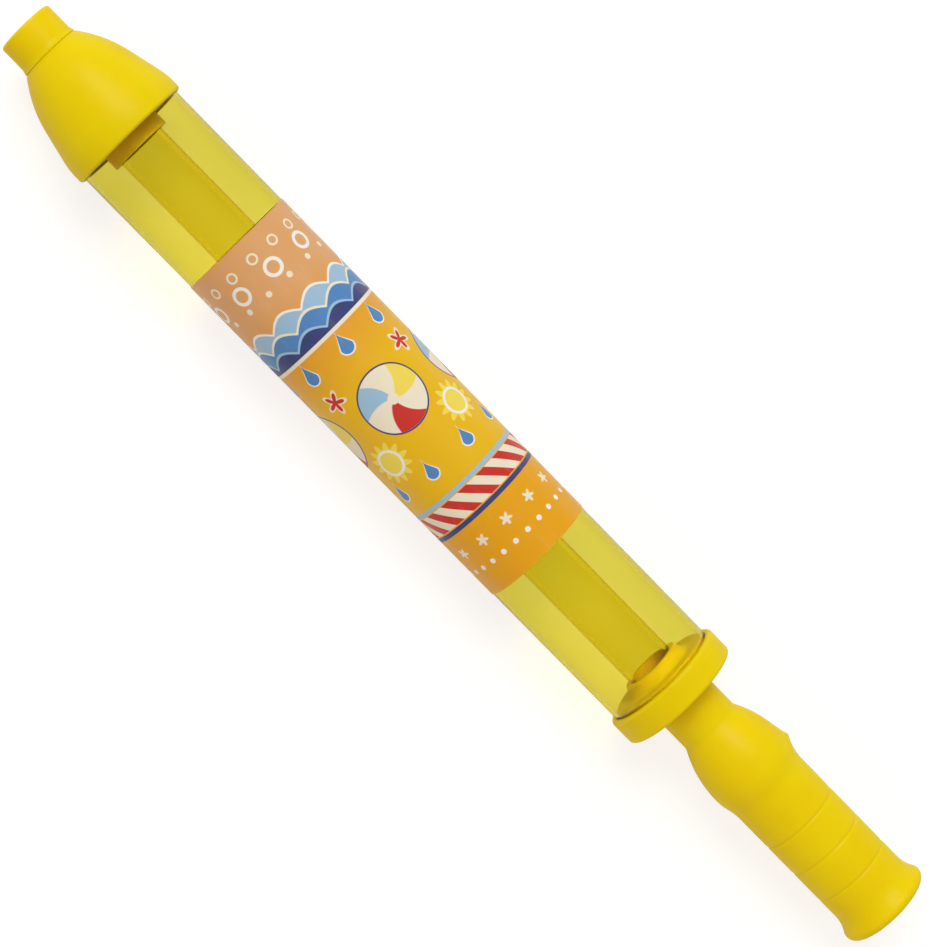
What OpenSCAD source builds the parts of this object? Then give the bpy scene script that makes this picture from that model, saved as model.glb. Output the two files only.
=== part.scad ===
// Pull-back water squirter: a clear barrel with a bottle-shaped nozzle at the front,
// and a plunger with a moulded grip that draws water in and pushes it out.
// Every piece is turned about the barrel's axis. Stations along that axis are
// measured back from the front face of the nozzle tip.

/* [Barrel] */
// Outside diameter of the clear barrel
barrel_d = 38.5; // [34:0.5:46]
// Wall of the clear barrel
barrel_wall = 1.2; // [0.8:0.1:2]
// Length of the clear barrel
barrel_l = 246.4; // [200:0.2:320]

/* [Nozzle tip] */
// Diameter of the nozzle tip
tip_d = 19.2; // [17:0.2:20]
// Length of the tip in front of the cap
tip_l = 11.2; // [8:0.2:16]
// Rounding of the tip's front edge
tip_round = 1; // [0.4:0.1:2]
// How far the tip flares out at its back
tip_flare = 0.5; // [0.2:0.1:1]
// Radius of the hollow that leads into the tip's flare
tip_hollow = 5; // [3:0.5:8]
// Chamfer of the tip's rear edge, which draws the joint line
tip_chamfer = 0.4; // [0.2:0.1:1]
// Diameter of the jet hole
jet_d = 3.6; // [2:0.1:5]
// Length of the jet hole
jet_l = 4; // [2:0.5:7]
// Diameter of the waterway behind the jet
waterway_d = 8; // [6:0.5:10]
// Diameter of the spigot that plugs into the cap
spigot_d = 14; // [12:0.2:15.6]

/* [Nozzle cap] */
// Length of the cap from the tip to its lip
cap_l = 34.5; // [32:0.1:44]
// Diameter of the cap where the tip seats
cap_neck_d = 20.2; // [20:0.2:24]
// Length of the neck bore that holds the tip's spigot
neck_bore_l = 6; // [4:0.5:9]
// Wall of the cap over its hollow
cap_wall = 2.4; // [1.6:0.1:3.2]
// Wall of the lip over the barrel
lip_wall = 1.55; // [1.2:0.05:2.4]
// Distance from the cap's taper to the back of its lip
lip_l = 5.6; // [4:0.2:8]
// Radius of the blend between taper and lip
lip_blend = 24; // [10:1:28]
// Radius of the shoulder between neck and taper
cap_shoulder = 41; // [30:1:55]
// Share of the cap's rise that the shoulder takes
shoulder_share = 0.36; // [0.25:0.01:0.45]
// Rounding of the lip's rear edge
lip_round = 1.2; // [0.4:0.1:1.8]
// Depth of the socket that takes the barrel's front end
cap_socket_l = 7.6; // [6:0.2:8.6]

/* [Front gasket] */
// Thickness of the gasket in front of the barrel
gasket_t = 1; // [0.6:0.1:2]

/* [Label] */
// Length of the printed sleeve
label_l = 132.2; // [80:0.2:150]
// Thickness of the printed sleeve
label_t = 0.2; // [0.1:0.05:0.4]
// Bare barrel between the cap's lip and the sleeve
label_offset = 45.3; // [5:0.1:50]

/* [Rear cap] */
// Length of the rim over the barrel, with its end wall
rim_l = 9.3; // [8:0.1:14]
// Wall of the rim over the barrel
rim_wall = 1.8; // [1.4:0.05:2.4]
// Rounding of the rim's rear edge
rim_round = 1.3; // [0.6:0.1:2.2]
// Rounding of the rim's front edge
rim_front_round = 1.3; // [0.4:0.1:1.4]
// Thickness of the end wall behind the barrel
end_wall = 2.4; // [1.8:0.1:4]
// Lead-in chamfer on the front edge of the plug
plug_lead = 0.8; // [0.4:0.1:1.2]
// Length of the plug in the back end of the barrel
plug_l = 7.8; // [5:0.1:9]
// Diameter of the guide boss around the rod
boss_d = 20.8; // [19.2:0.2:24]
// Length of the guide boss in front of the end wall
boss_l = 11.6; // [10.2:0.2:18]
// Chamfer at the front of the guide boss
boss_chamfer = 0.5; // [0.2:0.1:0.8]

/* [Plunger] */
// Diameter of the hollow rod
rod_d = 16.5; // [14:0.5:18]
// Wall of the rod
rod_wall = 1.5; // [1:0.1:2.5]
// Length of the piston's full-bore head
piston_l = 6.6; // [6:0.2:10]
// Diameter of the hub behind the piston
hub_d = 20.8; // [20:0.2:24]
// Length of the hub behind the piston
hub_l = 5; // [3:0.1:9]
// Depth that the rod enters the piston's head
rod_seat_l = 3.5; // [2:0.1:4.5]
// Thickness of the sealing ring's round section
ring_section = 2.6; // [1.8:0.1:3]

/* [Handle] */
// Length of the handle
handle_l = 94.7; // [90:0.1:120]
// Diameter of the handle's neck
neck_d = 20.4; // [20:0.2:24]
// Straight length of the neck
neck_l = 12.1; // [8:0.1:16]
// Radius of the fillet between neck and finger stop
neck_fillet = 4; // [3:0.5:8]
// Diameter over the finger stop
stop_d = 29.8; // [29.2:0.2:36]
// Radius of the swell that leads up to the finger stop
stop_swell = 38; // [30:1:50]
// Radius of the finger stop's crest
stop_crest = 18; // [8:0.5:24]
// Radius of the hollow behind the finger stop
stop_hollow = 20; // [12:1:40]
// Height of the nib on one side of the finger stop
nib_h = 0.9; // [0.4:0.1:1.5]
// Length of the nib along the handle
nib_l = 5; // [3:0.5:8]
// Angle that the nib covers
nib_angle = 24; // [10:1:60]
// Diameter of the grip
grip_d = 27.2; // [25:0.2:28.6]
// Number of grooves round the grip
groove_count = 3; // [1:1:3]
// Distance between the grooves
groove_pitch = 11.8; // [7:0.2:12]
// Bare grip between the last groove and the handle's end
groove_offset = 17.4; // [15:0.2:18]
// Width of a groove
groove_w = 1.2; // [0.8:0.1:1.6]
// Depth of a groove
groove_depth = 0.3; // [0.15:0.05:0.4]
// Diameter over the flared end
flare_d = 31.3; // [30:0.1:36]
// Radius of the hollow that leads out to the flare
flare_hollow = 12; // [6:0.5:14]
// Rounding of the flared end
end_round = 2.4; // [1.5:0.1:4]
// Depth of the socket that holds the rod
handle_socket_l = 28; // [20:0.5:34]
// Thickness of the web behind the rod
web_t = 2.5; // [1.5:0.1:4]
// Diameter of the hollow in the grip
hollow_d = 20.4; // [18:0.2:21.4]

/* [Handle end plug] */
// Diameter of the plug's disc
plug_disc_d = 23; // [22.4:0.2:24]
// Thickness of the plug's disc
plug_disc_t = 2; // [1.2:0.1:3]
// Length of the plug's skirt
plug_skirt_l = 6; // [3:0.5:10]
// Wall of the plug's skirt
plug_skirt_wall = 1.5; // [1:0.1:2.5]

/* [Clearances] */
// Radial gap where two pieces are pushed together
push_gap = 0.05; // [0.02:0.01:0.1]
// Radial gap where the rod runs in its guide
run_gap = 0.1; // [0.05:0.01:0.2]
// Radial gap between the piston's lands and the barrel
land_gap = 0.35; // [0.2:0.05:0.6]
// Gap left at each end of the plunger's travel
stop_gap = 0.3; // [0.2:0.05:0.6]

/* [Hidden] */
$fn = 96;
ARC_STEPS = 14;

// Radii
barrel_r = barrel_d / 2;
bore_r = barrel_r - barrel_wall;
seat_r = barrel_r + push_gap;
lip_r = seat_r + lip_wall;
rim_r = seat_r + rim_wall;
rod_r = rod_d / 2;
land_r = bore_r - land_gap;
ring_outer_r = bore_r - run_gap / 2;
groove_floor_r = ring_outer_r - ring_section - run_gap / 2;
socket_r = rod_r + push_gap;

// Stations, measured back from the tip's front face
cap_front = tip_l;
cap_back = cap_front + cap_l;
shoulder = cap_back - cap_socket_l;
barrel_front = shoulder + gasket_t;
barrel_back = barrel_front + barrel_l;
rear_face = barrel_back + end_wall;
rim_front = rear_face - rim_l;
boss_front = barrel_back - boss_l;
label_front = cap_back + label_offset;
piston_front = shoulder + stop_gap;
piston_back = piston_front + piston_l;
hub_back = piston_back + hub_l;
rod_front = piston_back - rod_seat_l;
handle_front = rear_face + stop_gap;
handle_back = handle_front + handle_l;
rod_back = handle_front + handle_socket_l;

// The bottle shape: an arc out of the neck, a straight taper, and a blend into the lip
cap_neck_r = cap_neck_d / 2;
taper_back = cap_back - lip_l;
cap_rise = lip_r - cap_neck_r;
taper_tilt = atan((1 - shoulder_share) * cap_rise / (taper_back - cap_front));
neck_drop = shoulder_share * cap_rise * cos(taper_tilt);
shoulder_run = sqrt(neck_drop * (2 * cap_shoulder - neck_drop));
shoulder_centre = [
    cap_neck_r + (neck_drop - cap_shoulder) * cos(taper_tilt) + shoulder_run * sin(taper_tilt),
    cap_front + (cap_shoulder - neck_drop) * sin(taper_tilt) + shoulder_run * cos(taper_tilt)];
shoulder_tilt = asin((shoulder_centre[1] - cap_front) / cap_shoulder);
blend_centre = [lip_r - lip_blend, taper_back + lip_blend * tan(taper_tilt / 2)];

// The finger stop: the neck's fillet turns into a swell that rises to the crest
neck_r = neck_d / 2;
grip_r = grip_d / 2;
stop_r = stop_d / 2;
swell_start = handle_front + neck_l;
swell_axis = stop_r - stop_swell;
swell_tilt = acos((neck_r + neck_fillet - swell_axis) / (stop_swell + neck_fillet));
crest = swell_start + (stop_swell + neck_fillet) * sin(swell_tilt);

// How far the plunger can be drawn back before its hub meets the guide boss
plunger_travel = boss_front - hub_back - stop_gap;
echo(overall_length = handle_back, plunger_travel = plunger_travel);

// Height of the axis when the squirter lies on its two widest rims
axis_height = max(lip_r, rim_r);

// Lays a turned piece along -X, with the middle of the squirter over the origin
module lay_down() {
    translate([handle_back / 2, 0, axis_height]) rotate([0, -90, 0]) children();
}

// Turns an outline of radius against station about the axis
module turn() {
    lay_down() rotate_extrude() children();
}

// A straight-sided ring from radius r1 to r2, between stations a1 and a2
module band(r1, r2, a1, a2) {
    translate([r1, a1]) square([r2 - r1, a2 - a1]);
}

// Points on an arc about [radius, station], between two angles
function arc(centre, r, from, to) =
    [for (i = [0 : ARC_STEPS]) let (t = from + (to - from) * i / ARC_STEPS)
        [centre[0] + r * cos(t), centre[1] + r * sin(t)]];

// A band from the axis out to r2, with its edge at station a2 rounded
module rounded_band(r2, a1, a2, edge) {
    band(0, r2, a1, a2 - edge);
    band(0, r2 - edge, a1, a2);
    translate([r2 - edge, a2 - edge]) circle(edge);
}

module nozzle_tip() {
    tip_r = tip_d / 2;
    flare_r = tip_r + tip_flare;
    flare_turn = acos(1 - tip_flare / tip_hollow);
    flare_start = tip_l - tip_chamfer - tip_hollow * sin(flare_turn);
    color("gold") turn() difference() {
        union() {
            polygon(concat(
                [[0, 0]],
                arc([tip_r - tip_round, tip_round], tip_round, -90, 0),
                arc([tip_r + tip_hollow, flare_start], tip_hollow, 180, 180 - flare_turn),
                [[flare_r - tip_chamfer, tip_l], [0, tip_l]]));
            band(0, spigot_d / 2, tip_l, tip_l + neck_bore_l);
        }
        band(0, jet_d / 2, -1, jet_l + 1);
        band(0, waterway_d / 2, jet_l, tip_l + neck_bore_l + 1);
    }
}

// The bottle shape from neck to lip, drawn in by an amount to make its hollow
module bottle_shape(inset) {
    shoulder_points = arc(shoulder_centre, cap_shoulder - inset, -shoulder_tilt, -taper_tilt);
    blend_points = arc(blend_centre, lip_blend - inset, -taper_tilt, 0);
    polygon(concat(
        [[0, shoulder_points[0][1]]],
        shoulder_points,
        blend_points,
        [[lip_r - inset, cap_back - lip_round], [0, cap_back - lip_round]]));
}

module nozzle_cap() {
    hollow_front = cap_front + neck_bore_l;
    color("gold") turn() difference() {
        union() {
            bottle_shape(0);
            rounded_band(lip_r, cap_back - lip_round - 0.1, cap_back, lip_round);
        }
        band(0, spigot_d / 2 + push_gap, cap_front - 1, hollow_front + 1);
        intersection() {
            bottle_shape(cap_wall);
            band(0, bore_r, hollow_front, shoulder + 1);
        }
        band(0, seat_r, shoulder, cap_back + 1);
    }
}

module front_gasket() {
    color("dimgray") turn() band(bore_r, barrel_r, shoulder, barrel_front);
}

module barrel_tube() {
    color("khaki", 0.5) turn() band(bore_r, barrel_r, barrel_front, barrel_back);
}

module label_sleeve() {
    inner_r = barrel_r + push_gap;
    color("orange") turn() band(inner_r, inner_r + label_t, label_front, label_front + label_l);
}

module rear_cap() {
    boss_r = boss_d / 2;
    plug_r = bore_r - push_gap;
    plug_front = barrel_back - plug_l;
    wall_middle = barrel_back + end_wall / 2;
    color("gold") turn() difference() {
        union() {
            difference() {
                rounded_band(rim_r, rim_front, rear_face, rim_round);
                difference() {
                    band(rim_r - rim_front_round, rim_r + 1, rim_front - 1, rim_front + rim_front_round);
                    translate([rim_r - rim_front_round, rim_front + rim_front_round]) circle(rim_front_round);
                }
                band(0, seat_r, rim_front - 1, barrel_back);
            }
            polygon([
                [0, boss_front],
                [boss_r - boss_chamfer, boss_front],
                [boss_r, boss_front + boss_chamfer],
                [boss_r, plug_front],
                [plug_r - plug_lead, plug_front],
                [plug_r, plug_front + plug_lead],
                [plug_r, wall_middle],
                [0, wall_middle]]);
        }
        band(0, rod_r + run_gap, boss_front - 1, rear_face + 1);
    }
}

module plunger_rod() {
    color("khaki", 0.5) turn() band(rod_r - rod_wall, rod_r, rod_front, rod_back);
}

module piston_head() {
    groove_l = ring_section + 2 * run_gap;
    groove_mid = (piston_front + piston_back) / 2;
    color("gold") turn() difference() {
        union() {
            band(0, land_r, piston_front, piston_back);
            band(0, hub_d / 2, piston_back, hub_back);
        }
        band(groove_floor_r, land_r + 1, groove_mid - groove_l / 2, groove_mid + groove_l / 2);
        band(0, socket_r, rod_front, hub_back + 1);
    }
}

module piston_ring() {
    color("dimgray") turn()
        translate([ring_outer_r - ring_section / 2, (piston_front + piston_back) / 2])
            circle(ring_section / 2);
}

// The grip's outline: neck, swell, finger stop, waist, straight grip and flared end
module handle_outline() {
    // Where the crest turns into the hollow behind the stop
    hollow_tilt = acos((grip_r + stop_hollow - stop_r + stop_crest) / (stop_hollow + stop_crest));
    waist = crest + (stop_hollow + stop_crest) * sin(hollow_tilt);
    // Where the flare's hollow turns into the rounded end
    round_r = flare_d / 2 - end_round;
    flare_tilt = acos((grip_r + flare_hollow - round_r) / (flare_hollow + end_round));
    flare_start = handle_back - end_round - (flare_hollow + end_round) * sin(flare_tilt);
    polygon(concat(
        [[0, handle_front], [neck_r, handle_front]],
        arc([neck_r + neck_fillet, swell_start], neck_fillet, 180, 180 - swell_tilt),
        arc([swell_axis, crest], stop_swell, -swell_tilt, 0),
        arc([stop_r - stop_crest, crest], stop_crest, 0, hollow_tilt),
        arc([grip_r + stop_hollow, waist], stop_hollow, 180 + hollow_tilt, 180),
        arc([grip_r + flare_hollow, flare_start], flare_hollow, 180, 180 - flare_tilt),
        arc([round_r, handle_back - end_round], end_round, -flare_tilt, 90),
        [[0, handle_back]]));
}

// A short rib along one side of the finger stop's crest
module stop_nib() {
    lay_down() rotate(-90 - nib_angle / 2) rotate_extrude(angle = nib_angle) polygon([
        [stop_r - 2, crest - nib_l],
        [stop_r - 0.6, crest - nib_l],
        [stop_r + nib_h, crest + 0.5],
        [stop_r - 0.6, crest + nib_l / 2],
        [stop_r - 2, crest + nib_l / 2]]);
}

module handle_grip() {
    groove_r = (groove_w * groove_w / 4 + groove_depth * groove_depth) / (2 * groove_depth);
    color("gold") {
        stop_nib();
        turn() difference() {
            handle_outline();
            for (i = [0 : groove_count - 1])
                translate([grip_r + groove_r - groove_depth, handle_back - groove_offset - i * groove_pitch])
                    circle(groove_r);
            band(0, socket_r, handle_front - 1, rod_back);
            band(0, hollow_d / 2, rod_back + web_t, handle_back);
            band(0, plug_disc_d / 2 + push_gap, handle_back - plug_disc_t, handle_back + 1);
        }
    }
}

module handle_end_plug() {
    skirt_r = hollow_d / 2 - push_gap;
    skirt_front = handle_back - plug_disc_t - plug_skirt_l;
    color("gold") turn() {
        band(0, plug_disc_d / 2, handle_back - plug_disc_t, handle_back);
        band(skirt_r - plug_skirt_wall, skirt_r, skirt_front, handle_back - plug_disc_t);
    }
}

nozzle_tip();
nozzle_cap();
front_gasket();
barrel_tube();
label_sleeve();
rear_cap();
plunger_rod();
piston_head();
piston_ring();
handle_grip();
handle_end_plug();
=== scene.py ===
import math

import bpy
from mathutils import Matrix, Vector


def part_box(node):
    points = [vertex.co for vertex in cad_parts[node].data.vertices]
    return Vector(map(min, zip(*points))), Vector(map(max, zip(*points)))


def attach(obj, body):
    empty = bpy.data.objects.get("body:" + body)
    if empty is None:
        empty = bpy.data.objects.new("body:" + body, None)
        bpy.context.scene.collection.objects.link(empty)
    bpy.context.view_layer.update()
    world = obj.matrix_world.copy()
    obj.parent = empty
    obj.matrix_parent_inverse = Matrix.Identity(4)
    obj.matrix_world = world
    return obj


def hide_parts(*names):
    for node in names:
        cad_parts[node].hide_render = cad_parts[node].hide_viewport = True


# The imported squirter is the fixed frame: the axis runs along X, with the nozzle at +X
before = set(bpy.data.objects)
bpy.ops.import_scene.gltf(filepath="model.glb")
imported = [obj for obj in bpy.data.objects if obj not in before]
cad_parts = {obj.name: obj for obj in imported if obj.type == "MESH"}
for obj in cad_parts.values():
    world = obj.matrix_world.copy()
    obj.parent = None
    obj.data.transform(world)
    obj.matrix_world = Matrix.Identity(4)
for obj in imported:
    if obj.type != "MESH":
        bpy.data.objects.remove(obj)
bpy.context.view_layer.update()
mm = 0.001
cornerReach = 0.02  # mm within which a ring of points counts as the corner asked for
weldReach = 0.004  # mm within which doubled points merge
creaseAngle = math.radians(32)
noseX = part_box("nozzle_tip")[1].x
axisZ = (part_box("nozzle_tip")[0].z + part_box("nozzle_tip")[1].z) / 2
print("frame loaded:", len(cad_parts), "pieces")


def spanOf(node):  # front and back stations and outer radius of a CAD node, in mm
    low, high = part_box(node)
    return (noseX - high.x) / mm, (noseX - low.x) / mm, (high.z - low.z) / 2 / mm


def spot(station, radius):  # a point of an outline, on the upper half of the plane through the axis
    return Vector((noseX - station * mm, 0, axisZ + radius * mm))


def stationOf(point):
    return (noseX - point.x) / mm


def radiusOf(point):
    return math.hypot(point.y, point.z - axisZ) / mm


def arc(station, radius, size, start, stop, steps=10):  # angles in degrees, 0 outwards and 90 backwards
    turns = [math.radians(start + (stop - start) * i / steps) for i in range(steps + 1)]
    return [(station + size * math.sin(t), radius + size * math.cos(t)) for t in turns]


# Working tools for turned pieces
def deselect():
    bpy.ops.object.select_all(action="DESELECT")


def turnOutline(name, outline, steps=128):
    deselect()
    start = spot(*outline[0])
    bpy.ops.mesh.primitive_plane_add(size=mm, location=start, calc_uvs=False)
    piece = bpy.context.active_object
    piece.name = name
    piece.data.name = name
    bpy.context.tool_settings.mesh_select_mode = (True, False, False)
    bpy.ops.object.mode_set(mode="EDIT")
    bpy.ops.mesh.merge(type="CENTER")
    for here, there in zip(outline, outline[1:] + outline[:1]):
        step = spot(*there) - spot(*here)
        bpy.ops.mesh.extrude_region_move(TRANSFORM_OT_translate={"value": step})
    bpy.ops.mesh.select_all(action="SELECT")
    bpy.ops.mesh.spin(steps=steps, angle=2 * math.pi, center=(0, 0, axisZ), axis=(1, 0, 0))
    bpy.ops.mesh.select_all(action="SELECT")
    bpy.ops.mesh.remove_doubles(threshold=weldReach * mm)
    bpy.ops.mesh.normals_make_consistent(inside=False)
    bpy.ops.object.mode_set(mode="OBJECT")
    bpy.ops.object.transform_apply(location=True, rotation=True, scale=True)
    return piece


def pick(piece, test, kind="EDGE"):  # selects vertices, edges or faces whose corners all pass a test
    mesh = piece.data
    passing = [test(v.co) for v in mesh.vertices]
    for group in (mesh.vertices, mesh.edges, mesh.polygons):
        group.foreach_set("select", [False] * len(group))
    chosen = {"VERT": mesh.vertices, "EDGE": mesh.edges, "FACE": mesh.polygons}[kind]
    for item in chosen:
        corners = [item.index] if kind == "VERT" else item.vertices
        item.select = all(passing[i] for i in corners)
    bpy.context.tool_settings.mesh_select_mode = [kind == k for k in ("VERT", "EDGE", "FACE")]
    bpy.context.view_layer.objects.active = piece
    piece.select_set(True)
    bpy.ops.object.mode_set(mode="EDIT")


def roundRing(piece, station, radius, size, segments=4):  # bevels the ring edge at one corner of the outline
    def onRing(point):
        return max(abs(stationOf(point) - station), abs(radiusOf(point) - radius)) < cornerReach

    pick(piece, onRing)
    bpy.ops.mesh.bevel(offset=size * mm, offset_type="OFFSET", segments=segments, profile=0.5)
    bpy.ops.object.mode_set(mode="OBJECT")


def finishPiece(piece, material, body, slot, *nodes):
    deselect()
    piece.select_set(True)
    bpy.context.view_layer.objects.active = piece
    bpy.ops.object.shade_smooth_by_angle(angle=creaseAngle)
    bpy.ops.object.modifier_add(type="WEIGHTED_NORMAL")  # keeps long faces flat beside their rounded edges
    piece.modifiers[-1].keep_sharp = True
    bpy.ops.object.modifier_apply(modifier=piece.modifiers[-1].name)
    piece.data.materials.clear()
    piece.data.materials.append(material)
    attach(piece, body)
    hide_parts(*nodes)
    print("made", piece.name, "for", ", ".join(nodes), "-", len(piece.data.polygons), "faces")
    return piece


# Working tools for materials
def newMaterial(name):
    material = bpy.data.materials.new(name)
    material.use_nodes = True
    tree = material.node_tree
    tree.nodes.clear()
    return material, tree


def addNode(tree, kind, **settings):
    node = tree.nodes.new(kind)
    for key, value in settings.items():
        setattr(node, key, value)
    return node


def feed(tree, socket, value):  # a socket takes another socket, or a plain value
    if isinstance(value, bpy.types.NodeSocket):
        tree.links.new(value, socket)
    else:
        socket.default_value = value


def calc(tree, operation, *values, clamp=False):
    node = addNode(tree, "ShaderNodeMath", operation=operation, use_clamp=clamp)
    for socket, value in zip(node.inputs, values):
        feed(tree, socket, value)
    return node.outputs[0]


def blendColour(tree, mask, under, over):
    node = addNode(tree, "ShaderNodeMix", data_type="RGBA")
    for index, value in ((0, mask), (6, under), (7, over)):
        feed(tree, node.inputs[index], value)
    return node.outputs[2]


def paint(red, green, blue):  # an sRGB colour, 0 to 255, as Blender's linear colour
    def linear(c):
        c /= 255
        return c / 12.92 if c <= 0.04045 else ((c + 0.055) / 1.055) ** 2.4
    return (linear(red), linear(green), linear(blue), 1)


def newGroup(name, inputs, outputs):
    group = bpy.data.node_groups.new(name, "ShaderNodeTree")
    for socketName, start in inputs.items():
        socket = group.interface.new_socket(socketName, in_out="INPUT", socket_type="NodeSocketFloat")
        socket.default_value = start
    for socketName in outputs:
        group.interface.new_socket(socketName, in_out="OUTPUT", socket_type="NodeSocketFloat")
    return group, addNode(group, "NodeGroupInput"), addNode(group, "NodeGroupOutput")


def useGroup(tree, group, **values):
    node = addNode(tree, "ShaderNodeGroup", node_tree=group)
    for key, value in values.items():
        feed(tree, node.inputs[key], value)
    return node


def noise(tree, vector, scale, detail=2.0, roughness=0.5):
    node = addNode(tree, "ShaderNodeTexNoise")
    feed(tree, node.inputs["Vector"], vector)
    feed(tree, node.inputs["Scale"], scale)
    node.inputs["Detail"].default_value = detail
    node.inputs["Roughness"].default_value = roughness
    return node.outputs["Fac"]


# Cloudy colour and fine grain of moulded plastic
def makeMouldGroup():
    group, given, result = newGroup("mouldedSkin", {"Cloud": 70, "Grain": 2600}, ["Cloud", "Speck", "Height"])
    place = addNode(group, "ShaderNodeTexCoord").outputs["Object"]
    cloud = noise(group, place, given.outputs["Cloud"], 3.0, 0.55)
    even = calc(group, "MULTIPLY_ADD", cloud, 2.2, -0.6, clamp=True)
    grain = noise(group, place, given.outputs["Grain"], 2.0, 0.6)
    speck = calc(group, "MULTIPLY_ADD", grain, 3.0, -1.35, clamp=True)
    swell = noise(group, place, calc(group, "MULTIPLY", given.outputs["Cloud"], 3.0), 1.0)
    height = calc(group, "MULTIPLY_ADD", swell, 0.6, calc(group, "MULTIPLY", grain, 0.4))
    feed(group, result.inputs["Cloud"], even)
    feed(group, result.inputs["Speck"], speck)
    feed(group, result.inputs["Height"], height)
    return group


# Thin rub marks from handling, drawn out along the barrel
def makeRubGroup():
    group, given, result = newGroup("rubMarks", {"Size": 240, "Stretch": 9}, ["Mark"])
    place = addNode(group, "ShaderNodeTexCoord").outputs["Object"]
    axes = addNode(group, "ShaderNodeSeparateXYZ")
    feed(group, axes.inputs[0], place)
    drawn = addNode(group, "ShaderNodeCombineXYZ")
    feed(group, drawn.inputs[0], calc(group, "DIVIDE", axes.outputs[0], given.outputs["Stretch"]))
    feed(group, drawn.inputs[1], axes.outputs[1])
    feed(group, drawn.inputs[2], axes.outputs[2])
    fine = noise(group, drawn.outputs[0], given.outputs["Size"], 4.0, 0.65)
    patch = noise(group, place, 55.0, 2.0)
    thin = calc(group, "MULTIPLY_ADD", fine, 6.0, -3.3, clamp=True)
    where = calc(group, "MULTIPLY_ADD", patch, 4.0, -1.7, clamp=True)
    feed(group, result.inputs["Mark"], calc(group, "MULTIPLY", thin, where))
    return group


mouldedSkin = makeMouldGroup()
rubMarks = makeRubGroup()


# Moulded yellow plastic, a little see-in under its skin, with painted shade: a deeper orange in its own
# hollows
def makePlastic(name, look):
    material, tree = newMaterial(name)
    skin = useGroup(tree, mouldedSkin, Cloud=look["cloud"], Grain=look["grain"])
    rubs = useGroup(tree, rubMarks, Size=260, Stretch=5)
    shader = addNode(tree, "ShaderNodeBsdfPrincipled")
    colour = blendColour(tree, skin.outputs["Cloud"], look["colour"], look["deep"])
    rubbed = calc(tree, "MULTIPLY", rubs.outputs["Mark"], look["rubShare"])
    colour = blendColour(tree, rubbed, colour, look["rubbed"])
    # painted shade: the colour turns deeper orange where ambient occlusion finds the piece's own hollows
    hollow = addNode(tree, "ShaderNodeAmbientOcclusion", samples=8, only_local=True)
    hollow.inputs["Distance"].default_value = look["reach"] * mm
    gain, start = -look["paintedShadeGain"], look["paintedShadeStart"]
    paintedShadeMask = calc(tree, "MULTIPLY_ADD", hollow.outputs["AO"], gain, start, clamp=True)
    colour = blendColour(tree, paintedShadeMask, colour, look["hollow"])
    feed(tree, shader.inputs["Base Color"], colour)
    rough = calc(tree, "MULTIPLY_ADD", skin.outputs["Speck"], look["uneven"], look["rough"])
    rough = calc(tree, "MULTIPLY_ADD", rubs.outputs["Mark"], -look["polish"], rough)
    feed(tree, shader.inputs["Roughness"], rough)
    bump = addNode(tree, "ShaderNodeBump")
    bump.inputs["Strength"].default_value = look["bump"]
    bump.inputs["Distance"].default_value = look["bumpDepth"] * mm
    feed(tree, bump.inputs["Height"], skin.outputs["Height"])
    feed(tree, shader.inputs["Normal"], bump.outputs[0])
    shader.inputs["Specular IOR Level"].default_value = look["specular"]
    shader.inputs["Subsurface Weight"].default_value = look["inside"]
    shader.inputs["Subsurface Radius"].default_value = look["spread"]
    shader.inputs["Subsurface Scale"].default_value = look["depth"] * mm
    output = addNode(tree, "ShaderNodeOutputMaterial")
    feed(tree, output.inputs["Surface"], shader.outputs[0])
    return material


capLook = {
    "colour": paint(240, 217, 4),
    "deep": paint(237, 209, 2),
    "rubbed": paint(244, 224, 40),
    "rubShare": 0.25,
    # painted shade for the piece's own hollows: its orange, its occlusion reach and how strongly it comes in
    "hollow": paint(222, 160, 4),
    "reach": 12.0,
    "paintedShadeGain": 1.6,
    "paintedShadeStart": 1.3,
    "cloud": 60.0,
    "grain": 2400.0,
    "rough": 0.36,
    "uneven": 0.12,
    "polish": 0.08,
    "bump": 0.12,
    "bumpDepth": 0.15,
    "specular": 0.1,
    "inside": 0.3,
    "spread": (1.0, 0.55, 0.08),
    "depth": 3.5,
}
yellowPlastic = makePlastic("satinYellowPlastic", capLook)


# Clear tinted tube, for the barrel and the plunger's rod, which lets the lamps through
barrelLook = {
    "tint": paint(252, 250, 219), "streak": paint(249, 246, 206), "shadow": paint(254, 252, 236),
    "depth": (0.86, 0.816, 0.009, 1), "density": 640.0, "rough": 0.03, "scuff": 0.12, "index": 1.2,
}
rodLook = {
    "tint": paint(253, 252, 236), "streak": paint(250, 247, 222), "shadow": paint(254, 253, 245),
    "depth": (0.946, 0.893, 0.005, 1), "density": 480.0, "rough": 0.05, "scuff": 0.12, "index": 1.2,
}


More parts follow.
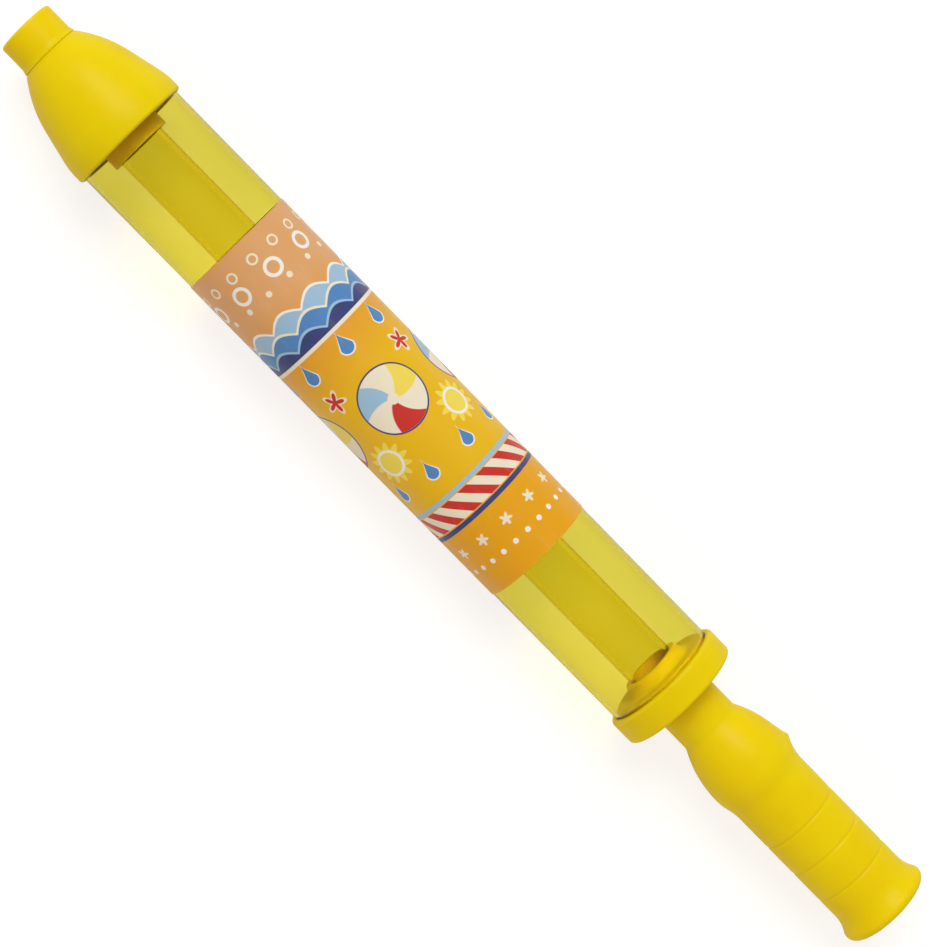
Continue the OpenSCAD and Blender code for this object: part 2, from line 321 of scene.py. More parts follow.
def makeClearPlastic(name, look):
    material, tree = newMaterial(name)
    rubs = useGroup(tree, rubMarks, Size=420, Stretch=14)
    skin = useGroup(tree, mouldedSkin, Cloud=26, Grain=900)
    shader = addNode(tree, "ShaderNodeBsdfPrincipled")
    tint = blendColour(tree, skin.outputs["Cloud"], look["tint"], look["streak"])
    feed(tree, shader.inputs["Base Color"], tint)
    rough = calc(tree, "MULTIPLY_ADD", rubs.outputs["Mark"], look["scuff"], look["rough"])
    feed(tree, shader.inputs["Roughness"], rough)
    shader.inputs["IOR"].default_value = look["index"]
    shader.inputs["Transmission Weight"].default_value = 1.0
    clear = addNode(tree, "ShaderNodeBsdfTransparent")
    clear.inputs["Color"].default_value = look["shadow"]
    path = addNode(tree, "ShaderNodeLightPath")
    mix = addNode(tree, "ShaderNodeMixShader")
    feed(tree, mix.inputs[0], path.outputs["Is Shadow Ray"])
    feed(tree, mix.inputs[1], shader.outputs[0])
    feed(tree, mix.inputs[2], clear.outputs[0])
    inside = addNode(tree, "ShaderNodeVolumeAbsorption")
    inside.inputs["Color"].default_value = look["depth"]
    inside.inputs["Density"].default_value = look["density"]
    output = addNode(tree, "ShaderNodeOutputMaterial")
    feed(tree, output.inputs["Surface"], mix.outputs[0])
    feed(tree, output.inputs["Volume"], inside.outputs[0])
    return material


clearBarrel = makeClearPlastic("clearYellowBarrel", barrelLook)
clearRod = makeClearPlastic("clearYellowRod", rodLook)

# Black seal rubber with a dusty bloom
rubberLook = {"colour": paint(34, 33, 32), "bloom": paint(70, 68, 64), "rough": 0.55, "uneven": 0.2}


def makeRubber(look):
    material, tree = newMaterial("sealRubber")
    skin = useGroup(tree, mouldedSkin, Cloud=160, Grain=3000)
    shader = addNode(tree, "ShaderNodeBsdfPrincipled")
    dusty = blendColour(tree, skin.outputs["Speck"], look["colour"], look["bloom"])
    feed(tree, shader.inputs["Base Color"], dusty)
    rough = calc(tree, "MULTIPLY_ADD", skin.outputs["Cloud"], look["uneven"], look["rough"])
    feed(tree, shader.inputs["Roughness"], rough)
    output = addNode(tree, "ShaderNodeOutputMaterial")
    feed(tree, output.inputs["Surface"], shader.outputs[0])
    return material


sealRubber = makeRubber(rubberLook)

# Nozzle tip: a short round spout with a countersunk jet hole and a spigot into the cap
tip = {
    "radius": 9.6, "edge": 1.0, "flare": 0.5, "hollow": 5.0, "chamfer": 0.4, "spigot": 7.0,
    "bore": 4.0, "jet": 1.8, "jetLength": 4.0, "sink": 0.7, "jointEdge": 0.2,
}


def makeNozzleTip(size):
    front, back, flareRadius = spanOf("nozzle_tip")
    joint = spanOf("nozzle_cap")[0]
    turn = math.degrees(math.acos(1 - size["flare"] / size["hollow"]))
    flareStart = joint - size["chamfer"] - size["hollow"] * math.sin(math.radians(turn))
    outline = [
        (front, size["jet"] + size["sink"]),
        (front, size["radius"]),
        *arc(flareStart, size["radius"] + size["hollow"], size["hollow"], 180, 180 - turn, 8),
        (joint, flareRadius - size["chamfer"]),
        (joint, size["spigot"]),
        (back, size["spigot"]),
        (back, size["bore"]),
        (size["jetLength"], size["bore"]),
        (size["jetLength"], size["jet"]),
        (front + size["sink"], size["jet"]),
    ]
    piece = turnOutline("nozzleTip", outline)
    roundRing(piece, front, size["radius"], size["edge"], 6)
    roundRing(piece, joint - size["chamfer"], flareRadius, size["jointEdge"], 3)
    return finishPiece(piece, yellowPlastic, "barrel", "yellow_plastic", "nozzle_tip")


# Nozzle cap: bottle shape from a narrow neck to the lip over the barrel
cap = {
    "neck": 10.1, "lip": 5.6, "blend": 24.0, "shoulder": 41.0, "share": 0.36, "edge": 1.2, "innerEdge": 0.35,
    "wall": 2.4, "neckBore": 7.05, "neckLength": 6.0, "socket": 19.3, "socketDepth": 7.6, "throat": 18.05,
    "hollowGap": 0.5, "hollowStep": 0.4,
}


def bottleCurve(size, front, back, radius, inset):  # shoulder arc, taper and blend, drawn in by an inset
    rise = radius - size["neck"]
    taperBack = back - size["lip"]
    tilt = math.atan((1 - size["share"]) * rise / (taperBack - front))
    drop = size["share"] * rise * math.cos(tilt)
    run = math.sqrt(drop * (2 * size["shoulder"] - drop))
    centreRadius = size["neck"] + (drop - size["shoulder"]) * math.cos(tilt) + run * math.sin(tilt)
    centreStation = front + (size["shoulder"] - drop) * math.sin(tilt) + run * math.cos(tilt)
    start = math.asin((centreStation - front) / size["shoulder"])
    blendStation = taperBack + size["blend"] * math.tan(tilt / 2)
    startDeg, tiltDeg = math.degrees(start), math.degrees(tilt)
    shoulder = arc(centreStation, centreRadius, size["shoulder"] - inset, -startDeg, -tiltDeg, 18)
    blend = arc(blendStation, radius - size["blend"], size["blend"] - inset, -tiltDeg, 0, 12)
    return shoulder + blend


def makeNozzleCap(size):
    front, back, radius = spanOf("nozzle_cap")
    hollowFront = front + size["neckLength"]
    shoulder = back - size["socketDepth"]
    outside = bottleCurve(size, front, back, radius, 0)
    inside = bottleCurve(size, front, back, radius, size["wall"])
    gap = size["hollowGap"]
    hollow = [(s, min(r, size["throat"])) for s, r in inside if hollowFront + gap < s < shoulder - gap]
    outline = outside + [
        (back, radius),
        (back, size["socket"]),
        (shoulder, size["socket"]),
        (shoulder, size["throat"]),
        *reversed(hollow),
        (hollowFront, hollow[0][1] - size["hollowStep"]),
        (hollowFront, size["neckBore"]),
        (front, size["neckBore"]),
    ]
    piece = turnOutline("nozzleCap", outline)
    roundRing(piece, back, radius, size["edge"], 6)
    roundRing(piece, back, size["socket"], size["innerEdge"], 3)
    roundRing(piece, front, size["neck"], size["innerEdge"], 3)
    return finishPiece(piece, yellowPlastic, "barrel", "yellow_plastic", "nozzle_cap")


# Barrel: a clear tube with polished ends
barrel = {"wall": 1.2, "edge": 0.35, "steps": 192}


def makeBarrelTube(size):
    front, back, radius = spanOf("barrel_tube")
    bore = radius - size["wall"]
    outline = [(front, bore), (front, radius), (back, radius), (back, bore)]
    piece = turnOutline("barrelTube", outline, size["steps"])
    for station in (front, back):
        for ring in (bore, radius):
            roundRing(piece, station, ring, size["edge"], 3)
    return finishPiece(piece, clearBarrel, "barrel", "clear_plastic", "barrel_tube")


# Printed sleeve: a wrapped film with a glued overlap along its underside
sleeve = {"thick": 0.2, "edge": 0.06, "overlap": 6.0, "lap": 0.12, "near": 0.01, "steps": 192}
inks = {
    "peach": paint(226, 172, 116), "orange": paint(233, 163, 50), "amber": paint(240, 192, 16),
    "tangerine": paint(236, 171, 12), "cream": paint(246, 236, 214), "white": paint(250, 248, 244),
    "sky": paint(160, 198, 228), "blue": paint(84, 142, 204), "navy": paint(58, 70, 132),
    "red": paint(206, 52, 44), "yellow": paint(250, 224, 92), "blush": paint(240, 196, 160),
}
# Ground colours along the sleeve, by distance in mm from its front edge
grounds = [
    (0, "peach"), (20, "peach"), (36, "orange"), (58, "amber"),
    (96, "amber"), (112, "tangerine"), (132, "tangerine"),
]
# Rows of motifs round the sleeve: distance from the front edge, count, turn in mm, size, shape and inks
motifRows = [
    {"at": 6.5, "count": 14, "turn": 0.0, "size": 1.5, "shape": "ring", "inks": ("cream",)},
    {"at": 12.5, "count": 9, "turn": 3.0, "size": 2.6, "shape": "ring", "inks": ("white",)},
    {"at": 17.5, "count": 14, "turn": 5.0, "size": 1.0, "shape": "disc", "inks": ("cream",)},
    {"at": 45.0, "count": 8, "turn": 2.0, "size": 2.3, "shape": "drop", "inks": ("white", "blue")},
    {"at": 55.0, "count": 4, "turn": 17.0, "size": 4.4, "shape": "star", "inks": ("cream", "red")},
    {"at": 66.0, "count": 4, "turn": 1.0, "size": 11.2, "shape": "ball", "inks": ("navy", "cream")},
    {"at": 80.0, "count": 4, "turn": 16.0, "size": 5.4, "shape": "sun", "inks": ("white", "yellow")},
    {"at": 90.5, "count": 8, "turn": 9.0, "size": 2.0, "shape": "drop", "inks": ("white", "blue")},
    {"at": 116.0, "count": 12, "turn": 0.0, "size": 2.1, "shape": "star", "inks": ("cream", "cream")},
    {"at": 123.0, "count": 24, "turn": 2.5, "size": 0.9, "shape": "disc", "inks": ("white",)},
]
# Shares of a motif's size, apart from counts and from lines, which are in mm
motifForm = {
    "ringWidth": 0.22, "dropTail": 2.3, "dropTip": 0.04, "dropLine": 0.45,
    "starPoints": 5, "starDepth": 0.28, "starInset": 0.16, "starLine": 0.3,
    "sunRays": 12, "sunReach": 1.35, "sunDepth": 0.16, "sunRing": 0.86, "sunDisc": 0.7,
    "ballSweep": 0.55, "ballLine": 0.55, "ballSeam": 0.3, "ballButton": 0.16,
}
# Wave crests one behind another, and their scallops
waveRows = [
    {"at": 24.0, "turn": 0.0, "ink": "sky", "foam": "white"},
    {"at": 28.5, "turn": 6.1, "ink": "blue", "foam": "cream"},
    {"at": 33.0, "turn": 2.0, "ink": "navy", "foam": "sky"},
]
waveForm = {"scallops": 10, "rise": 3.2, "sink": 3.0, "foam": 0.9, "foot": 38.5}
# Slanted red stripes on a cream band, and thin lines round the sleeve
candyBand = {"start": 100.0, "stop": 107.5, "stripes": 16, "middle": 3.8, "half": 1.9}
thinLines = [(38.0, 39.2, "cream"), (98.2, 99.6, "sky"), (107.9, 109.5, "navy")]


class Print:  # the sleeve's printed colours, made of math nodes in mm along (u) and round (v) it
    def __init__(self, tree, front, radius):
        self.tree = tree
        self.radius = radius
        axes = addNode(tree, "ShaderNodeSeparateXYZ")
        feed(tree, axes.inputs[0], addNode(tree, "ShaderNodeTexCoord").outputs["Object"])
        self.u = self.do("MULTIPLY_ADD", axes.outputs[0], -1 / mm, noseX / mm - front)
        height = self.do("SUBTRACT", axes.outputs[2], axisZ)
        self.v = self.do("MULTIPLY", self.do("ARCTAN2", axes.outputs[1], height), radius)
        square = self.do("MULTIPLY", axes.outputs[1], axes.outputs[1])
        self.out = self.do("SQRT", self.do("MULTIPLY_ADD", height, height, square))

    def do(self, operation, *values, clamp=False):
        return calc(self.tree, operation, *values, clamp=clamp)

    def inside(self, distance, soft=0.14):  # 1 where a signed distance in mm is below zero, with a soft edge
        return self.do("MULTIPLY_ADD", distance, -1 / soft, 0.5, clamp=True)

    def over(self, colour, mask, ink):
        return blendColour(self.tree, mask, colour, inks[ink])

    def stripe(self, start, stop):  # a mask between two distances from the front edge, which may be sockets
        return self.do("MULTIPLY", self.inside(self.do("SUBTRACT", start, self.u)),
                       self.inside(self.do("SUBTRACT", self.u, stop)))

    def cell(self, row):  # along, round, from the middle and angle, in the nearest motif
        half = math.pi * self.radius / row["count"]
        a = self.do("SUBTRACT", self.u, row["at"])
        b = self.do("WRAP", self.do("ADD", self.v, row["turn"]), half, -half)
        far = self.do("SQRT", self.do("ADD", self.do("MULTIPLY", a, a), self.do("MULTIPLY", b, b)))
        return a, b, far, self.do("ARCTAN2", b, a)

    def petal(self, far, angle, count, size, depth):  # distance from a star-like outline
        wave = self.do("COSINE", self.do("MULTIPLY", angle, count))
        return self.do("SUBTRACT", far, self.do("MULTIPLY_ADD", wave, size * depth, size * (1 - depth)))

    def drop(self, a, b, size):  # a round drop with its tail towards the nozzle
        tail = motifForm["dropTail"]
        narrowing = self.do("MULTIPLY_ADD", a, 1 / (tail * size), 1, clamp=True)
        thin = self.do("MAXIMUM", narrowing, motifForm["dropTip"])
        front = self.do("MAXIMUM", a, 0)
        behind = self.do("DIVIDE", self.do("MINIMUM", a, 0), tail)
        run = self.do("ADD", front, behind)
        wide = self.do("DIVIDE", b, thin)
        square = self.do("MULTIPLY_ADD", run, run, self.do("MULTIPLY", wide, wide))
        return self.do("SUBTRACT", self.do("SQRT", square), size)

    def motif(self, colour, row):
        a, b, far, angle = self.cell(row)
        size, shape, names = row["size"], row["shape"], row["inks"]
        if shape == "disc":
            return self.over(colour, self.inside(self.do("SUBTRACT", far, size)), names[0])
        if shape == "ring":
            rim = self.do("ABSOLUTE", self.do("SUBTRACT", far, size))
            band = self.do("SUBTRACT", rim, motifForm["ringWidth"] * size)
            return self.over(colour, self.inside(band), names[0])
        if shape == "drop":
            edge = self.drop(a, b, size)
            line = self.do("SUBTRACT", edge, motifForm["dropLine"])
            colour = self.over(colour, self.inside(line), names[0])
            return self.over(colour, self.inside(edge), names[1])
        if shape == "star":
            edge = self.petal(far, angle, motifForm["starPoints"], size, motifForm["starDepth"])
            inset = motifForm["starInset"] * size + motifForm["starLine"]
            colour = self.over(colour, self.inside(edge), names[0])
            return self.over(colour, self.inside(self.do("ADD", edge, inset)), names[1])
        if shape == "sun":
            reach = size * motifForm["sunReach"]
            rays = self.petal(far, angle, motifForm["sunRays"], reach, motifForm["sunDepth"])
            colour = self.over(colour, self.inside(rays), names[1])
            for share, ink in (("sunRing", names[0]), ("sunDisc", names[1])):
                disc = self.do("SUBTRACT", far, motifForm[share] * size)
                colour = self.over(colour, self.inside(disc), ink)
            return colour
        return self.ball(colour, far, angle, size, names)

    def ball(self, colour, far, angle, size, names):  # a beach ball: six swept panels, outline and button
        swept = self.do("MULTIPLY_ADD", far, motifForm["ballSweep"] / size, angle)
        panel = self.do("WRAP", self.do("MULTIPLY", swept, 3 / math.pi), 6, 0)
        colour = self.over(colour, self.inside(self.do("SUBTRACT", far, size)), names[0])
        disc = self.inside(self.do("SUBTRACT", far, size - motifForm["ballLine"]))
        colour = self.over(colour, disc, names[1])
        for start, ink in ((0, "red"), (2, "sky"), (4, "yellow")):
            gap = self.do("SUBTRACT", self.do("ABSOLUTE", self.do("SUBTRACT", panel, start + 0.5)), 0.5)
            edge = self.inside(self.do("MULTIPLY", gap, far), motifForm["ballSeam"])
            colour = self.over(colour, self.do("MULTIPLY", edge, disc), ink)
        button = self.do("SUBTRACT", far, motifForm["ballButton"] * size)
        return self.over(colour, self.inside(button), names[1])

    def ground(self):
        ramp = addNode(self.tree, "ShaderNodeValToRGB")
        stops = ramp.color_ramp.elements
        length = grounds[-1][0]
        stops.remove(stops[1])
        stops[0].color = inks[grounds[0][1]]
        for at, ink in grounds[1:]:
            stops.new(at / length).color = inks[ink]
        feed(self.tree, ramp.inputs[0], self.do("DIVIDE", self.u, length))
        return ramp.outputs[0]

    def waves(self, colour):  # rolling wave crests, each with a line of foam
        perMm = waveForm["scallops"] / 2 / self.radius
        for row in waveRows:
            turned = self.do("MULTIPLY", self.do("ADD", self.v, row["turn"]), perMm)
            scallop = self.do("ABSOLUTE", self.do("SINE", turned))
            crest = self.do("MULTIPLY_ADD", scallop, -waveForm["rise"], row["at"] + waveForm["sink"])
            behind = self.do("ADD", crest, waveForm["foam"])
            colour = self.over(colour, self.stripe(crest, behind), row["foam"])
            colour = self.over(colour, self.stripe(behind, waveForm["foot"]), row["ink"])
        return colour

    def candy(self, colour):  # slanted red stripes on a cream band
        pitch = 2 * math.pi * self.radius / candyBand["stripes"]
        slant = self.do("WRAP", self.do("ADD", self.u, self.v), pitch, 0)
        band = self.stripe(candyBand["start"], candyBand["stop"])
        colour = self.over(colour, band, "cream")
        away = self.do("ABSOLUTE", self.do("SUBTRACT", slant, candyBand["middle"]))
        red = self.inside(self.do("SUBTRACT", away, candyBand["half"]))
        return self.over(colour, self.do("MULTIPLY", band, red), "red")

    def colours(self):
        colour = self.candy(self.waves(self.ground()))
        for start, stop, ink in thinLines:
            colour = self.over(colour, self.stripe(start, stop), ink)
        for row in motifRows:
            colour = self.motif(colour, row)
        back = self.do("LESS_THAN", self.out, (self.radius - sleeve["thick"] / 2) * mm)
        return self.over(colour, back, "white")


filmLook = {
    "worn": 0.2, "rough": 0.3, "uneven": 0.08, "bump": 0.1, "bumpDepth": 0.1, "inside": 0.45,
    "spread": (1.0, 0.75, 0.5), "depth": 0.4, "specular": 0.3, "coat": 0.15, "coatRough": 0.12,
}


def makeFilm(look):
    front, _, radius = spanOf("label_sleeve")
    material, tree = newMaterial("printedFilm")
    design = Print(tree, front, radius)
    rubs = useGroup(tree, rubMarks, Size=330, Stretch=6)
    skin = useGroup(tree, mouldedSkin, Cloud=45, Grain=4200)
    shader = addNode(tree, "ShaderNodeBsdfPrincipled")
    worn = calc(tree, "MULTIPLY", rubs.outputs["Mark"], look["worn"])
    inked = blendColour(tree, worn, design.colours(), inks["blush"])
    feed(tree, shader.inputs["Base Color"], inked)
    rough = calc(tree, "MULTIPLY_ADD", skin.outputs["Speck"], look["uneven"], look["rough"])
    feed(tree, shader.inputs["Roughness"], rough)
    bump = addNode(tree, "ShaderNodeBump")
    bump.inputs["Strength"].default_value = look["bump"]
    bump.inputs["Distance"].default_value = look["bumpDepth"] * mm
    feed(tree, bump.inputs["Height"], skin.outputs["Height"])
    feed(tree, shader.inputs["Normal"], bump.outputs[0])
    shader.inputs["Subsurface Weight"].default_value = look["inside"]
    shader.inputs["Subsurface Radius"].default_value = look["spread"]
    shader.inputs["Subsurface Scale"].default_value = look["depth"] * mm
    shader.inputs["Specular IOR Level"].default_value = look["specular"]
    shader.inputs["Coat Weight"].default_value = look["coat"]
    shader.inputs["Coat Roughness"].default_value = look["coatRough"]
    output = addNode(tree, "ShaderNodeOutputMaterial")
    feed(tree, output.inputs["Surface"], shader.outputs[0])
    return material


def makeSleeve(size):
    front, back, radius = spanOf("label_sleeve")
    inner = radius - size["thick"]
    outline = [(front, inner), (front, radius), (back, radius), (back, inner)]
    piece = turnOutline("labelSleeve", outline, size["steps"])
    for station in (front, back):
        roundRing(piece, station, radius, size["edge"], 2)
    lapHalf = size["overlap"] / radius / 2

    def onLap(point):
        fromUnder = abs(math.atan2(point.y, axisZ - point.z))
        return fromUnder < lapHalf and radiusOf(point) > radius - size["near"]

    pick(piece, onLap, "FACE")
    bpy.ops.mesh.extrude_region_shrink_fatten(TRANSFORM_OT_shrink_fatten={"value": size["lap"] * mm})
    bpy.ops.object.mode_set(mode="OBJECT")
    return finishPiece(piece, makeFilm(filmLook), "barrel", "printed_film", "label_sleeve")


# Rear cap: rim over the barrel, plug inside it, and the rod's guide boss
rear = {
    "edge": 1.3, "frontEdge": 1.3, "wall": 2.4, "seat": 19.3, "plug": 18.0, "lead": 0.3,
    "plugLength": 7.8, "boss": 10.4, "chamfer": 0.5, "bore": 8.35, "rim": 9.3,
    "boreEdge": 0.5, "leadEdge": 0.15, "fillet": 3.2,
}


def makeRearCap(size):
    front, back, radius = spanOf("rear_cap")
    rimFront = back - size["rim"]
    floor = back - size["wall"]
    plugFront = floor - size["plugLength"]
    faceEdge = size["plug"] - size["lead"]
    outline = [
        (back, size["bore"]),
        (back, radius),
        (rimFront, radius),
        (rimFront, size["seat"]),
        (floor, size["seat"]),
        (floor, size["plug"]),
        (plugFront + size["lead"], size["plug"]),
        (plugFront, faceEdge),
        (plugFront, size["boss"]),
        (front + size["chamfer"], size["boss"]),
        (front, size["boss"] - size["chamfer"]),
        (front, size["bore"]),
    ]
    piece = turnOutline("rearCap", outline)
    roundRing(piece, back, radius, size["edge"], 6)
    roundRing(piece, rimFront, radius, size["frontEdge"], 6)
    roundRing(piece, back, size["bore"], size["boreEdge"], 3)
    roundRing(piece, plugFront, faceEdge, size["leadEdge"], 2)
    roundRing(piece, plugFront, size["boss"], size["fillet"], 6)
    return finishPiece(piece, yellowPlastic, "barrel", "yellow_plastic", "rear_cap")


# Handle: neck over the rod, finger stop, grooved grip and flared end
handle = {
    "neck": 10.2, "neckLength": 12.1, "fillet": 4.0, "stop": 14.9, "swell": 38.0, "crest": 18.0,
    "hollow": 20.0, "grip": 13.6, "flare": 15.65, "flareHollow": 12.0, "end": 2.4,
    "grooves": 3, "pitch": 11.8, "offset": 17.4, "groove": 0.55, "grooveDepth": 0.28,
    "socket": 8.3, "socketDepth": 28.0, "web": 2.5, "inside": 10.2, "seat": 11.55, "seatDepth": 2.0,
    "nibHeight": 0.95, "nibLean": 0.8, "nibReach": 5.0, "nibAngle": 12.0, "nibBand": 0.4,
    "neckEdge": 0.6, "seatEdge": 0.3, "steps": 144,
}


def grooveCurve(station, radius, width, depth):  # a small round notch with eased edges, seen in section
    steps = [-2.2, -1.5, -1.0, -0.6, -0.25, 0, 0.25, 0.6, 1.0, 1.5, 2.2]
    return [(station + width * t, radius - depth * math.exp(-1.6 * t * t)) for t in steps]


def makeHandle(size):
    front, back, _ = spanOf("handle_grip")
    swellStart = front + size["neckLength"]
    swellAxis = size["stop"] - size["swell"]
    swellTilt = math.acos((size["neck"] + size["fillet"] - swellAxis) / (size["swell"] + size["fillet"]))
    crest = swellStart + (size["swell"] + size["fillet"]) * math.sin(swellTilt)
    hollowRise = size["grip"] + size["hollow"] - size["stop"] + size["crest"]
    hollowTilt = math.acos(hollowRise / (size["hollow"] + size["crest"]))
    waist = crest + (size["hollow"] + size["crest"]) * math.sin(hollowTilt)
    roundAxis = size["flare"] - size["end"]
    flareAxis = size["grip"] + size["flareHollow"]
    flareReach = size["flareHollow"] + size["end"]
    flareTilt = math.acos((flareAxis - roundAxis) / flareReach)
    flareStart = back - size["end"] - flareReach * math.sin(flareTilt)
    swellDeg, hollowDeg, flareDeg = (math.degrees(t) for t in (swellTilt, hollowTilt, flareTilt))
    rodEnd = front + size["socketDepth"]
    outline = [(front, size["neck"])]
    outline += arc(swellStart, size["neck"] + size["fillet"], size["fillet"], 180, 180 - swellDeg, 8)
    outline += arc(crest, swellAxis, size["swell"], -swellDeg, 0, 16)[1:]
    outline += arc(crest, size["stop"] - size["crest"], size["crest"], 0, hollowDeg, 8)[1:]
    outline += arc(waist, size["grip"] + size["hollow"], size["hollow"], 180 + hollowDeg, 180, 8)[1:]
    for i in reversed(range(size["grooves"])):
        at = back - size["offset"] - i * size["pitch"]
        outline += grooveCurve(at, size["grip"], size["groove"], size["grooveDepth"])
    outline += arc(flareStart, flareAxis, size["flareHollow"], 180, 180 - flareDeg, 10)
    outline += arc(back - size["end"], roundAxis, size["end"], -flareDeg, 90, 12)[1:]
    outline += [
        (back, size["seat"]),
        (back - size["seatDepth"], size["seat"]),
        (back - size["seatDepth"], size["inside"]),
        (rodEnd + size["web"], size["inside"]),
        (rodEnd + size["web"], 0),
        (rodEnd, 0),
        (rodEnd, size["socket"]),
        (front, size["socket"]),
    ]
    piece = turnOutline("handleGrip", outline, size["steps"])
    roundRing(piece, front, size["neck"], size["neckEdge"], 4)
    roundRing(piece, back, size["seat"], size["seatEdge"], 3)
    raiseNib(piece, size, crest)
    return finishPiece(piece, yellowPlastic, "plunger", "yellow_plastic", "handle_grip")


def raiseNib(piece, size, crest):  # a small thumb nib, drawn out of the finger stop on its -Y side
    def onNib(point):
        side = math.degrees(math.atan2(point.z - axisZ, -point.y))
        inRange = abs(side) < size["nibAngle"] and abs(stationOf(point) - crest) < size["nibBand"]
        return inRange and radiusOf(point) > size["grip"]

    pick(piece, onNib, "VERT")
    bpy.ops.transform.translate(
        value=(-size["nibLean"] * mm, -size["nibHeight"] * mm, 0), use_proportional_edit=True,
        proportional_edit_falloff="SHARP", proportional_size=size["nibReach"] * mm)
    bpy.ops.object.mode_set(mode="OBJECT")


# Plug in the handle's end: a disc with a shallow dish and a skirt
plug = {
    "thick": 2.0, "dish": 0.6, "dishRadius": 8.2, "skirt": 10.15, "skirtWall": 1.5,
    "pip": 1.6, "pipHeight": 0.25, "edge": 0.5, "dishEdge": 0.3, "steps": 96,
}


def makeEndPlug(size):
    front, back, radius = spanOf("handle_end_plug")
    under = back - size["thick"]
    dishFloor = back - size["dish"]
    skirtInside = size["skirt"] - size["skirtWall"]
    outline = [
        (dishFloor + size["pipHeight"], 0),
        (dishFloor + size["pipHeight"], size["pip"]),
        (dishFloor, size["pip"] + size["pipHeight"]),
        (dishFloor, size["dishRadius"]),
        (back, size["dishRadius"] + size["dish"]),
        (back, radius),
        (under, radius),
        (under, size["skirt"]),
        (front, size["skirt"]),
        (front, skirtInside),
        (under, skirtInside),
        (under, 0),
    ]
    piece = turnOutline("handleEndPlug", outline, size["steps"])
    roundRing(piece, back, radius, size["edge"], 4)
    roundRing(piece, back, size["dishRadius"] + size["dish"], size["dishEdge"], 3)
    return finishPiece(piece, yellowPlastic, "plunger", "yellow_plastic", "handle_end_plug")


makeNozzleTip(tip)
makeNozzleCap(cap)
makeBarrelTube(barrel)
makeSleeve(sleeve)
makeRearCap(rear)
makeHandle(handle)
makeEndPlug(plug)

# Camera, placed as the photograph was taken: almost straight above, with the nozzle end a little nearer
view = {
    "lens": 120.12, "sensor": 36, "distance": 0.9751, "tilt": 6.43, "heading": 134.41,
    "aim": (0.00115, -0.00032, 0.0211),
}


def makeCamera(look):
    data = bpy.data.cameras.new("photoCamera")
    data.lens = look["lens"]
    data.sensor_width = look["sensor"]
    camera = bpy.data.objects.new("photoCamera", data)
    bpy.context.scene.collection.objects.link(camera)
    tilt, heading = math.radians(look["tilt"]), math.radians(look["heading"])
    towards = Vector((math.sin(tilt), 0, math.cos(tilt)))
    along = Vector((math.cos(tilt), 0, -math.sin(tilt)))
    across = Vector((0, -1, 0))
    right = math.cos(heading) * along + math.sin(heading) * across
    up = math.sin(heading) * along - math.cos(heading) * across
    turned = Matrix((right, up, towards)).transposed().to_4x4()
    camera.matrix_world = Matrix.Translation(Vector(look["aim"]) + look["distance"] * towards) @ turned
    bpy.context.scene.camera = camera


# Studio: a white room, a large cool lamp above the nozzle's side and a small warm one behind
studio = {"world": 0.5, "tone": (1.0, 0.86, 0.74, 1), "white": (1, 1, 1, 1), "aim": (0, 0, 0.02)}
lamps = [
    {"name": "keySoftbox", "place": (2.5, -2.4, 4.5), "size": (3.25, 2.75),
     "power": 181.0, "colour": (0.97, 1.0, 1.0)},
    {"name": "fillSoftbox", "place": (-0.6, 0.65, 0.42), "size": (0.8, 0.6),
     "power": 0.95, "colour": (1.0, 0.8, 0.6)},
]


def aimedLamp(look, aim):
    bpy.ops.object.light_add(type="AREA", location=look["place"])
    lamp = bpy.context.active_object
    lamp.name = look["name"]
    lamp.data.shape = "RECTANGLE"
    lamp.data.size, lamp.data.size_y = look["size"]
    lamp.data.energy = look["power"]
    lamp.data.color = look["colour"]
    lamp.rotation_mode = "QUATERNION"
    lamp.rotation_quaternion = (Vector(aim) - Vector(look["place"])).to_track_quat("-Z", "Y")


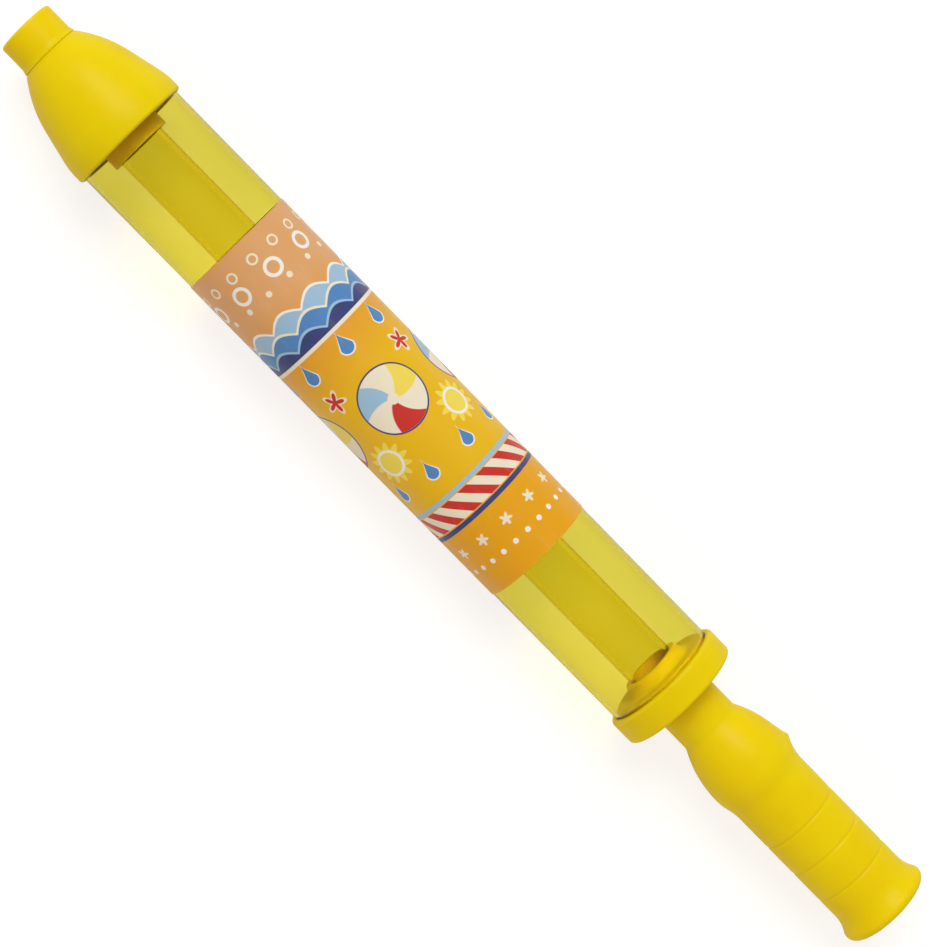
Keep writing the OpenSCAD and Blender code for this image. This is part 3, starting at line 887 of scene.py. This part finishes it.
def seenDirectly(tree):  # 1 for what the camera sees, straight or through the tube
    path = addNode(tree, "ShaderNodeLightPath")
    seen = calc(tree, "MAXIMUM", path.outputs["Is Camera Ray"], path.outputs["Is Transmission Ray"])
    return calc(tree, "MULTIPLY", seen, calc(tree, "LESS_THAN", path.outputs["Diffuse Depth"], 0.5))


def makeStudio(look):
    world = bpy.data.worlds.new("softRoom")
    bpy.context.scene.world = world
    world.use_nodes = True
    tree = world.node_tree
    sky = tree.nodes["Background"]
    seen = seenDirectly(tree)
    feed(tree, sky.inputs["Color"], blendColour(tree, seen, look["tone"], look["white"]))
    feed(tree, sky.inputs["Strength"], calc(tree, "MULTIPLY_ADD", seen, 1 - look["world"], look["world"]))
    for lamp in lamps:
        aimedLamp(lamp, look["aim"])


# Pale floor: a plain grey that also glows where it is seen, so that it stays white with a soft shadow
floorLook = {
    "side": 6, "lit": (0.85, 0.85, 0.85, 1), "seen": (0.34, 0.34, 0.34, 1), "glow": 0.76, "rough": 0.8,
}


def makeFloor(look):
    deselect()
    bpy.ops.mesh.primitive_plane_add(size=look["side"], location=(0, 0, 0))
    floor = bpy.context.active_object
    floor.name = "floor"
    material, tree = newMaterial("paleFloor")
    shader = addNode(tree, "ShaderNodeBsdfPrincipled")
    seen = seenDirectly(tree)
    feed(tree, shader.inputs["Base Color"], blendColour(tree, seen, look["lit"], look["seen"]))
    shader.inputs["Roughness"].default_value = look["rough"]
    shader.inputs["Specular IOR Level"].default_value = 0.0
    glow = addNode(tree, "ShaderNodeEmission")
    feed(tree, glow.inputs["Strength"], calc(tree, "MULTIPLY", seen, look["glow"]))
    both = addNode(tree, "ShaderNodeAddShader")
    feed(tree, both.inputs[0], shader.outputs[0])
    feed(tree, both.inputs[1], glow.outputs[0])
    output = addNode(tree, "ShaderNodeOutputMaterial")
    feed(tree, output.inputs["Surface"], both.outputs[0])
    floor.data.materials.append(material)


# Pieces whose CAD shape is kept
def dress(node, material):
    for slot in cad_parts[node].material_slots:
        slot.material = material


dress("plunger_rod", clearRod)
dress("piston_head", yellowPlastic)
for node in ("front_gasket", "piston_ring"):
    dress(node, sealRubber)

makeCamera(view)
makeStudio(studio)
makeFloor(floorLook)
bpy.context.scene.view_settings.view_transform = "Standard"
